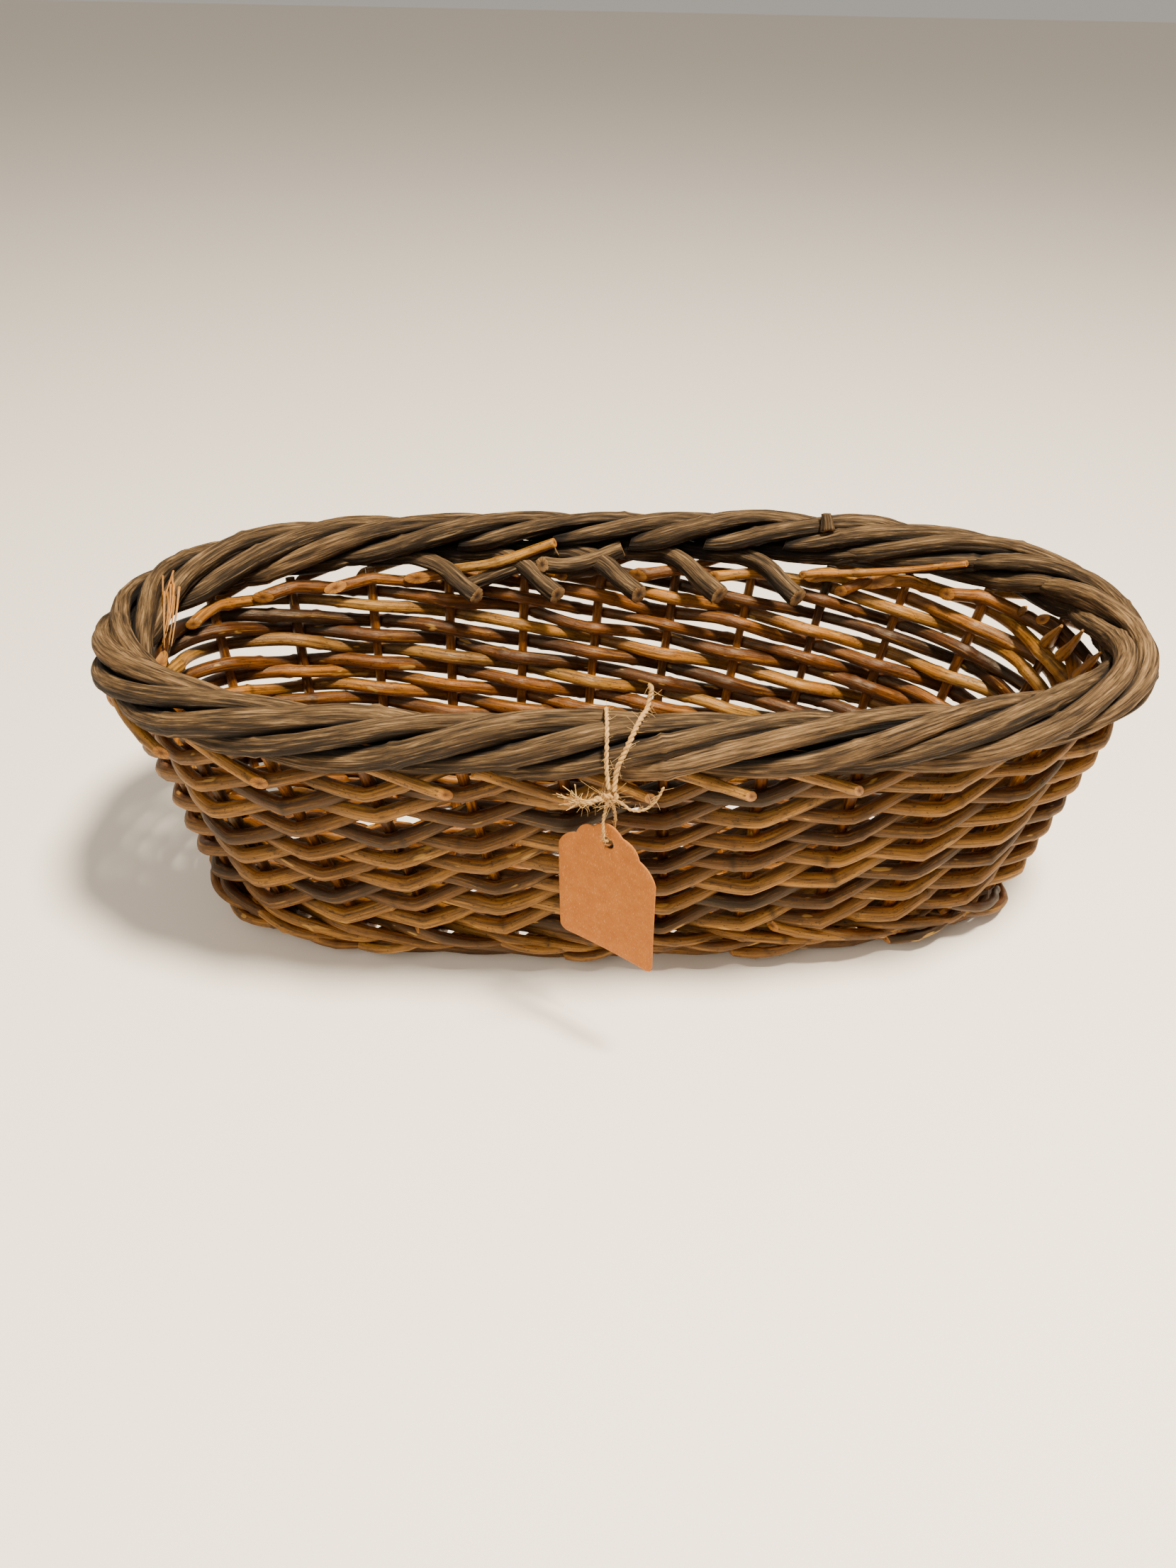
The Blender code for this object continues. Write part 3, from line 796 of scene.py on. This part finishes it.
# A butt's way in from its cut end: how far back along the border, how far out and how high.
BUTT_ROUTE = ((0.0240, -0.0250, -0.0190), (0.0155, -0.0200, -0.0145), (0.0080, -0.0125, -0.0090))
LAST_END_GAP = 0.015
SHORTEST_VINE = 0.04
VINE_OVERLAP = 0.022
TUCK_LENGTH = 0.020
TUCK_DEPTH = 0.0030
TUCK_THINNING = 0.0020
VINE_STEP = 0.0018
VINE_SIDES = 30
VINE_NODES = (0.09, 0.0008)
COARSE_RELIEF = 0.0014
FINE_RELIEF = 0.00060
BACK_SHADE = 0.48
# Painted shade in the gaps between the border's rods: where it starts and how far it reaches.
CORE_SHADE_FROM = 0.0101
CORE_SHADE_DEPTH = 0.0026


def border_gap_shade(distance):
    """Painted shade in the gaps between the vine rods, by a surface point's distance from the border's
    core.
    """
    core, out = rim(distance, 0, 0)

    def dark(rings):
        gap = rings - core[:, None]
        away = np.hypot(np.einsum("nsk,nk->ns", gap, out), gap[..., 2])
        return np.clip((CORE_SHADE_FROM - away) / CORE_SHADE_DEPTH, 0, 1)

    return dark


def add_vine(rods, rng, line, size, core=None, slant=(0.6, 0.6), face=(0.0, 0.0, 1.0)):
    """One weathered vine rod: fluted, furrowed, with nodes and uneven girth, with painted shade along the
    back and, where core is given, in the gaps between the border's rods.
    """
    along = lengths_along(line)
    ridge = furrows(rng, along, VINE_SIDES, 11, 0.030)
    fine = furrows(rng, along, VINE_SIDES, VINE_SIDES, 0.009)
    relief = (ridge - 0.5) * COARSE_RELIEF + (fine - 0.5) * FINE_RELIEF
    groove = np.clip((0.40 - ridge) * 3, 0, 1) * 0.6
    swell, _ = rod_nodes(rng, along, *VINE_NODES)
    # Painted shade: the rods darker towards the back of the border.
    shade = BACK_SHADE * np.clip(line[:, 1] / 0.08, 0, 1)
    tones = np.clip(rng.uniform(0.15, 0.85) - shade + wander(rng, along, 0.05, 0.10), 0, 1)
    up = np.broadcast_to(UP, line.shape)
    rods.add(line, size + swell, rng, VINE_SIDES, tones, up, slant, relief=relief, groove=groove,
             face=face, crevice=core)


def with_butt(start, run, line, size):
    """A strand's first rod with the cut butt that leads into it from inside the basket's wall."""
    route = [rim(start - back, offset, rise) for back, offset, rise in BUTT_ROUTE]
    curve = smooth_line([point for point, _ in route] + [line[3], line[6]], VINE_STEP)
    lead = len(curve) - 1
    line = np.concatenate([curve[:-1], line[6:]])
    size = np.concatenate([np.full(lead, size[6]), size[6:]])
    place = np.linspace(start - BUTT_ROUTE[0][0], start + run[6], lead)
    place = np.concatenate([place, start + run[6:]])
    return line, size, place, -route[0][1] + 0.3 * UP


def make_border(material):
    """Five strands laid like a rope, each of several vine rods whose thin ends tuck under the next."""
    turn_length = RIM_LENGTH / STRANDS
    for strand in range(STRANDS):
        rng = default_rng(400 + strand)
        rods = Rods()
        start = FIRST_BUTT + turn_length * strand / STRANDS
        finish = RIM_LENGTH - LAST_END_GAP
        first, turn = 0.0, turn_length * rng.uniform(0.93, 1.0)
        while first < finish - SHORTEST_VINE:
            last = min(first + turn + VINE_OVERLAP, finish)
            run = np.arange(first, last, VINE_STEP)
            share = np.minimum(run - first, last - run)
            tuck = np.clip(1 - share / TUCK_LENGTH, 0, 1) ** 1.5
            if first == 0.0:
                tuck[: len(tuck) // 2] = 0
            phase = BUTT_PHASE + 2 * np.pi * run / turn_length
            lay = LAY_RADIUS + rng.uniform(-0.0005, 0.0006) + wander(rng, run - first, 0.04, 0.0005)
            lay -= tuck * TUCK_DEPTH
            size = STRAND_RADIUS * rng.uniform(0.88, 1.12) + wander(rng, run - first, 0.04, 0.0003)
            size -= tuck * TUCK_THINNING
            drift = wander(rng, run - first, 0.06, 0.0022)
            line = rim(start + run + drift, lay * np.cos(phase), lay * np.sin(phase))[0]
            place, face = start + run, UP
            if first == 0.0:
                line, size, place, face = with_butt(start, run, line, size)
            add_vine(rods, rng, line, size, border_gap_shade(place), (0.45, 0.4), face=face)
            first += turn
            turn = turn_length * rng.uniform(0.90, 1.05)
        rods.stand_for("border_strand", material, f"_{strand + 1}")


# Rods listed one by one, each a few points from its cut end inwards, and its radius.
EXTRA_BUTTS = (
    ((-0.0742, 0.0725, 0.1188), (-0.0620, 0.0752, 0.1225), (-0.0460, 0.0790, 0.1275),
     (-0.0300, 0.0840, 0.1330), 0.0034),
    ((-0.0367, 0.0715, 0.1312), (-0.0270, 0.0745, 0.1285), (-0.0140, 0.0790, 0.1285),
     (0.0020, 0.0850, 0.1330), 0.0039),
)
LOOSE_RODS = (
    ((0.0895, 0.0745, 0.1245), (0.1290, 0.0685, 0.1285), (0.1625, 0.0570, 0.1385), 0.0019),
    ((0.1092, 0.0720, 0.1167), (0.1190, 0.0730, 0.1208), (0.1310, 0.0770, 0.1240), 0.0028),
    ((-0.0783, 0.0755, 0.1266), (-0.0589, 0.0755, 0.1294), (-0.0310, 0.0785, 0.1390), 0.0025),
)
BORDER_NUB = ((0.1002, 0.0790, 0.1450), (0.1000, 0.0815, 0.1490), (0.0994, 0.0835, 0.1520))
SPLIT_BARK = ((-0.1985, 0.0270, 0.1475), (-0.1950, 0.0120, 0.1395), (-0.1968, -0.0030, 0.1285))
SPLIT_RODS = (
    ((0.1975, 0.0120, 0.1150), (0.1965, 0.0030, 0.1260), (0.1955, -0.0040, 0.1365)),
    ((0.1985, -0.0060, 0.1150), (0.1972, -0.0140, 0.1260), (0.1950, -0.0245, 0.1375)),
    ((0.1960, 0.0260, 0.1140), (0.1955, 0.0200, 0.1220), (0.1945, 0.0140, 0.1290)),
    ((0.1900, 0.0520, 0.1130), (0.1885, 0.0440, 0.1200), (0.1870, 0.0370, 0.1265)),
)
SPLINTERS = 9


def make_border_details(vine_bark, willow_bark):
    """Butts that point the other way, a side shoot's stub, and split bark and rods inside the two ends."""
    rng = default_rng(450)
    rods = Rods()
    for *points, radius in EXTRA_BUTTS:
        line = smooth_line(points, VINE_STEP)
        add_vine(rods, rng, line, np.full(len(line), radius), slant=(0.5, 0.3), face=(-0.1, -1.0, 0.3))
    line = smooth_line(BORDER_NUB, 0.0010)
    add_vine(rods, rng, line, np.linspace(0.0034, 0.0020, len(line)), slant=(0.2, 0.5))
    rods.build("border_butts", vine_bark)
    rods = Rods()
    for _ in range(SPLINTERS):
        shift = rng.normal(0, 0.0016, (3, 3)) + rng.normal(0, 0.001, 3)
        line = smooth_line(np.array(SPLIT_BARK) + shift, VINE_STEP)
        start = rng.integers(0, len(line) // 3)
        line = line[start: len(line) - rng.integers(0, len(line) // 3)]
        size = np.linspace(0.0007, 0.0002, len(line)) * rng.uniform(0.4, 1.2)
        rods.add(line, size, rng, 5, 0.9, bare=1.0)
    for points in SPLIT_RODS:
        line = smooth_line(points, 0.0016)
        add_willow(rods, line, None, rng, (0.0031, 0.0006), rng.uniform(0.55, 0.9))
    for *points, radius in LOOSE_RODS:
        line = smooth_line(points, 0.0020)
        add_willow(rods, line, None, rng, (radius, radius * 0.9), rng.uniform(0.5, 0.7), (0.9, 0.4),
                   face=(-0.2, -1.0, 0.4))
    rods.build("split_ends", willow_bark)


FOOT_ENDS = 34
FOOT_ENDS_BULGE = 0.0050
TAILS_TOP = 0.1290
TAILS_OFFSET = 0.0065


def make_foot_strays(material):
    """Thin rod ends worked into the foot, each tucked in at both ends. Every third one climbs."""
    rods = Rods()
    for number in range(FOOT_ENDS):
        rng = default_rng(700 + number)
        span = rng.uniform(0.9, 1.9)
        share = np.arange(0, 1, RING_STEP / (span * STAKE_GAP))
        bulge = np.sin(np.pi * np.clip(share * 1.15, 0, 1))
        high, fall = 0.006, -0.010
        if number % 3:
            high, fall = rng.uniform(0.012, 0.025), rng.uniform(0.004, 0.014)
        place = number * STAKES / FOOT_ENDS + rng.uniform(-0.4, 0.4) + share * span
        height = np.clip(high - fall * share, 0.0035, None)
        line, out = wall(place, height, 0.0040 + FOOT_ENDS_BULGE * bulge)
        add_willow(rods, line, out, rng, (0.0024, 0.0019), 0.75 * pick_tone(rng), (1.2, 1.2), face=out[0])
    rods.build("foot_ends", material)


def make_tails(material):
    """Short willow ends that stick out below the border at most stakes."""
    rods = Rods()
    for stake in range(STAKES):
        rng = default_rng(500 + stake)
        if rng.random() < 0.15:
            continue
        reach = rng.uniform(0.023, 0.032)
        share = np.linspace(0, 1, 9)
        place = stake + rng.uniform(0.05, 0.35) + share * reach / STAKE_GAP
        height = TAILS_TOP - share * rng.uniform(0.009, 0.013)
        line, out = wall(place, height, TAILS_OFFSET + 0.0050 * share)
        add_willow(rods, line, out, rng, (0.0027, 0.0021), rng.uniform(0.6, 0.95), (0.3, 1.2),
                   face=out[-1] + 0.6 * UP)
    rods.build("weaver_ends", material)


# -------- twine and tag
LOOP_RADIUS = 0.0009
END_RADIUS = 0.0011
STRING_RADIUS = 0.00065
THIN_END_RADIUS = 0.0006
TWINE_STEP = 0.0007
PLY_SIDES = 7
BIGHT_RADIUS = 0.0033
TAG_HALF_WIDTH = 0.0220
TAG_BELOW_HOLE = 0.0550
TAG_CORNER = 0.0035
TAG_SHOULDER = -0.0095
TAG_SCALLOPS = ((0.0142, -0.0015), (0.0064, 0.0050))
SCALLOP_BULGES = (0.0014, 0.0018, 0.0037)
TAG_HOLE_RADIUS = 0.0025
TAG_THICKNESS = 0.0006


def plied(rods, line, radius, rng, pitch=0.0045):
    """Two-ply twine along a line."""
    along = lengths_along(line)
    tangent = directions(line)
    side = unit(np.cross(tangent, (0.31, 0.12, 0.94)))
    other = np.cross(tangent, side)
    for ply in range(2):
        angle = (along / pitch * 2 * np.pi + ply * np.pi)[:, None]
        helix = line + (side * np.cos(angle) + other * np.sin(angle)) * radius * 0.46
        size = radius * 0.56 + wander(rng, along, 0.003, radius * 0.05)
        rods.add(helix, size, rng, PLY_SIDES, rng.uniform(0.3, 0.8), cut=(0.0, 0.0))


def add_hairs(rods, line, rng, count, reach):
    """Loose fibres standing off a twine."""
    for _ in range(count):
        root = line[rng.integers(1, len(line) - 1)]
        way = rng.normal(0, 1, 3)
        way /= np.linalg.norm(way)
        curl = rng.normal(0, 0.5, 3)
        share = np.linspace(0, 1, 6)[:, None]
        length = reach * rng.uniform(0.4, 1.3)
        hair = root + length * (way * share + curl * share**2 * 0.6)
        rods.add(hair, np.linspace(0.00009, 0.00005, 6), rng, 3, rng.uniform(0.5, 1.0), cut=(0.0, 0.0))


def circle_path(angles, x, radius):
    """Points round the border at the knot: angle 0 is the front and 90 the top."""
    angles = np.radians(angles)
    return np.stack([x + 0 * angles, -RIM_HALF[1] - radius * np.cos(angles),
                     RIM_HEIGHT + radius * np.sin(angles)], axis=1)


def make_ties(material):
    """The loop round the border, and the second strand over it with its free end inside the rim."""
    knot = np.array(KNOT)
    loop = circle_path(np.arange(8, 306, 12), np.linspace(-0.0150, -0.0128, 25), 0.0136)
    loop = [knot + (-0.0006, 0.0005, 0.0036), *loop, knot + (0.0006, 0.0042, -0.0008)]
    over = circle_path(np.arange(0, 106, 15), np.linspace(-0.0112, 0.0004, 8), 0.0137)
    over = [knot + (0.0014, 0.0, 0.0030), *over, (0.0014, -0.0835, 0.1535), (0.0022, -0.0830, 0.1562),
            (0.0010, -0.0822, 0.1580)]
    for name, points, radius, nodes in (
            ("tie_loop_look", loop, LOOP_RADIUS, ["tie_loop"]), ("tie_end_look", over, END_RADIUS, [])):
        line = smooth_line(points, TWINE_STEP, 2)
        rng = default_rng(600 + len(name))
        rods = Rods()
        plied(rods, line, radius, rng)
        piece = rods.build(name, material, nodes)
        fluff = Rods()
        add_hairs(fluff, line, rng, 60, 0.004)
        fluff = fluff.build(f"{name}_hairs", material)


def make_knot(material):
    """The knot and its two loose ends, one fat and frayed, one long and thin."""
    knot = np.array(KNOT)
    rng = default_rng(610)
    rods = Rods()
    turn = np.linspace(0, 2 * np.pi, 60)
    trefoil = np.stack([(np.sin(turn) + 2 * np.sin(2 * turn)) * 0.00085, -np.sin(3 * turn) * 0.0011,
                        (np.cos(turn) - 2 * np.cos(2 * turn)) * 0.00085], axis=1)
    plied(rods, knot + trefoil, 0.0010, rng)
    add_hairs(rods, knot + trefoil, rng, 70, 0.005)
    rods.stand_for("twine_knot", material)
    rods = Rods()
    frayed = smooth_line(knot + np.array([
        (-0.0008, 0.0, 0.0), (-0.0046, -0.0002, 0.0), (-0.0085, -0.0010, -0.0020),
        (-0.0140, -0.0010, 0.0008)]), TWINE_STEP)
    count = len(frayed)
    plied(rods, frayed[: count * 2 // 3], END_RADIUS, rng)
    for _ in range(26):
        tip = frayed[-1] + rng.normal(0, 0.0022, 3)
        root = frayed[count // 2 - rng.integers(0, 4)]
        middle = frayed[count * 3 // 4] + rng.normal(0, 0.0009, 3)
        fibre = smooth_line([root, middle, tip], 0.0008)
        rods.add(fibre, 0.00016, rng, 4, rng.uniform(0.4, 1.0), cut=(0.0, 0.0))
    add_hairs(rods, frayed, rng, 40, 0.005)
    rods.stand_for("twine_end_frayed", material)
    rods = Rods()
    thin = smooth_line(knot + np.array([
        (0.0008, 0.0, -0.0006), (0.0042, -0.0005, -0.0016), (0.0070, -0.0012, -0.0045),
        (0.0115, -0.0012, -0.0052), (0.0160, -0.0010, -0.0020), (0.0190, -0.0005, 0.0050)]), TWINE_STEP)
    plied(rods, thin, THIN_END_RADIUS, rng, 0.0035)
    add_hairs(rods, thin, rng, 30, 0.003)
    rods.stand_for("twine_end_long", material)


def turned(local):
    """Points given in the tag's own directions, turned to its place below the knot."""
    local = np.asarray(local, float)
    width = np.array([math.cos(TAG_YAW), math.sin(TAG_YAW), 0])
    away = np.array([-math.sin(TAG_YAW), math.cos(TAG_YAW), 0])
    return np.array(KNOT) + local[:, :1] * width + local[:, 1:2] * away + local[:, 2:] * UP


def make_string(material):
    """The string from the knot through the tag's hole and back, with its hairs, line and length."""
    bend = -HOLE_DROP + 0.00125 + BIGHT_RADIUS
    angle = np.radians(np.arange(0, 181, 15))
    bight = np.stack([0 * angle, BIGHT_RADIUS * np.cos(angle), bend - BIGHT_RADIUS * np.sin(angle)], axis=1)
    left = [(0.0006, 0.0014, -0.0030), (0.0012, 0.0024, -0.0090), (0.0002, 0.0032, bend + 0.002)]
    right = [(0.0, -0.0033, bend + 0.002), (-0.0010, -0.0026, -0.0085), (-0.0004, -0.0012, -0.0030)]
    line = smooth_line(turned([*left, *bight, *right]), 0.0006, 2)
    rng = default_rng(620)
    rods = Rods()
    plied(rods, line, STRING_RADIUS, rng, 0.0032)
    piece = rods.stand_for("tag_string", material, body="tag_string")
    fluff = Rods()
    add_hairs(fluff, line[len(line) // 4: -len(line) // 4], rng, 26, 0.002)
    fluff = fluff.build("tag_string_hairs", material, body="tag_string")
    return piece, fluff, line, float(lengths_along(line)[-1])


def tag_outline():
    """The scalloped card round its hole, which is at the origin."""
    half, low, corner = TAG_HALF_WIDTH, -TAG_BELOW_HOLE, TAG_CORNER
    middle = (half - corner, low + corner)
    right = [(middle[0] + corner * math.cos(a), middle[1] + corner * math.sin(a))
             for a in np.radians(np.arange(-90, 1, 15))]
    right += [(half, y) for y in np.linspace(low + corner, TAG_SHOULDER, 14)[1:-1]]
    outer, inner = TAG_SCALLOPS
    stops = [(half, TAG_SHOULDER), outer, inner, (-inner[0], inner[1])]
    for start, end, bulge in zip(stops, stops[1:], SCALLOP_BULGES):
        start, way = np.array(start), np.subtract(end, start)
        outward = np.array([way[1], -way[0]]) / np.linalg.norm(way)
        for share in np.linspace(0, 1, 9)[:-1]:
            right.append(tuple(start + way * share + outward * 4 * bulge * share * (1 - share)))
    top = [p for p in right if abs(p[0]) <= 1e-6]
    right = [p for p in right if p[0] > 1e-6]
    left = [(-x, y) for x, y in right[::-1]]
    bottom = [(x, low) for x in np.linspace(-middle[0], middle[0], 14)[1:-1]]
    return np.array(right + top + left + bottom)


def make_tag(material):
    outline = tag_outline()
    count = len(outline)
    hole = unit(outline) * TAG_HOLE_RADIUS
    # From the hole to the outline: the share of the way, and the share of the card's thickness.
    levels = [(0.0, 0.6), (0.03, 1.0), (0.2, 1.0), (0.5, 1.0), (0.8, 1.0), (0.985, 1.0), (1.0, 0.6)]
    rings = []
    for side in (1, -1):
        for share, thick in levels[::side]:
            flat = hole + (outline - hole) * share
            bend = 0.0016 * (flat[:, 1] / TAG_BELOW_HOLE) ** 2 - 0.0008 * (flat[:, 0] / TAG_HALF_WIDTH) ** 2
            face = bend - side * thick * TAG_THICKNESS / 2
            rings.append(np.stack([flat[:, 0], face, flat[:, 1] - HOLE_DROP], axis=1))
    points = turned(np.concatenate(rings))
    faces = []
    for ring in range(len(rings)):
        near, far = ring * count, (ring + 1) % len(rings) * count
        for i in range(count):
            after = (i + 1) % count
            faces.append((near + i, near + after, far + after, far + i))
    mesh = bpy.data.meshes.new("price_tag_look")
    mesh.from_pydata(points.tolist(), [], faces)
    mesh.shade_smooth()
    return place_piece(mesh, material, ["price_tag"], "price_tag")


def jute(name):
    """Fuzzy pale twine."""
    graph = Graph(name)
    grain = graph.attribute("grain", "Vector")
    fibre = graph.noise(grain, (5000, 5000, 500), 3, 0.6)
    colour = graph.ramp(graph.attribute("tone"), [(0.0, srgb(166, 120, 64)), (1.0, srgb(214, 176, 112))])
    colour = graph.cover(colour, fibre, [(0.35, 0.7), (0.6, 0.0)], srgb(118, 80, 40))
    return graph.finish(colour, 0.85, graph.bump(fibre, 0.0002, 0.8), 0.2)


def kraft(name):
    """Brown card with fine fibres in it."""
    graph = Graph(name)
    place = graph.nodes.new("ShaderNodeTexCoord").outputs["Object"]
    cloud = graph.noise(place, (220, 220, 220), 3, 0.6)
    flecks = graph.noise(place, (2600, 2600, 900), 2, 0.5)
    colour = graph.ramp(cloud, [(0.3, srgb(156, 91, 34)), (0.7, srgb(170, 104, 42))])
    colour = graph.cover(colour, flecks, [(0.30, 0.5), (0.42, 0.0)], srgb(128, 72, 36))
    colour = graph.cover(colour, flecks, [(0.60, 0.0), (0.72, 0.4)], srgb(226, 166, 106))
    return graph.finish(colour, 0.8, graph.bump(flecks, 0.00008, 0.6), 0.15)


def main():
    set_stage()
    set_light()
    aim_camera()
    weave, stake = willow("willow_weave"), willow("willow_stake")
    border = vine("vine_border")
    make_rand(weave)
    make_ribs(stake)
    make_base(weave)
    make_foot(weave, stake)
    make_border(border)
    make_tails(weave)
    make_border_details(border, weave)
    make_foot_strays(weave)
    twine = jute("jute_twine")
    make_ties(twine)
    make_knot(twine)
    string, fluff, line, length = make_string(twine)
    tag = make_tag(kraft("kraft_card"))


main()
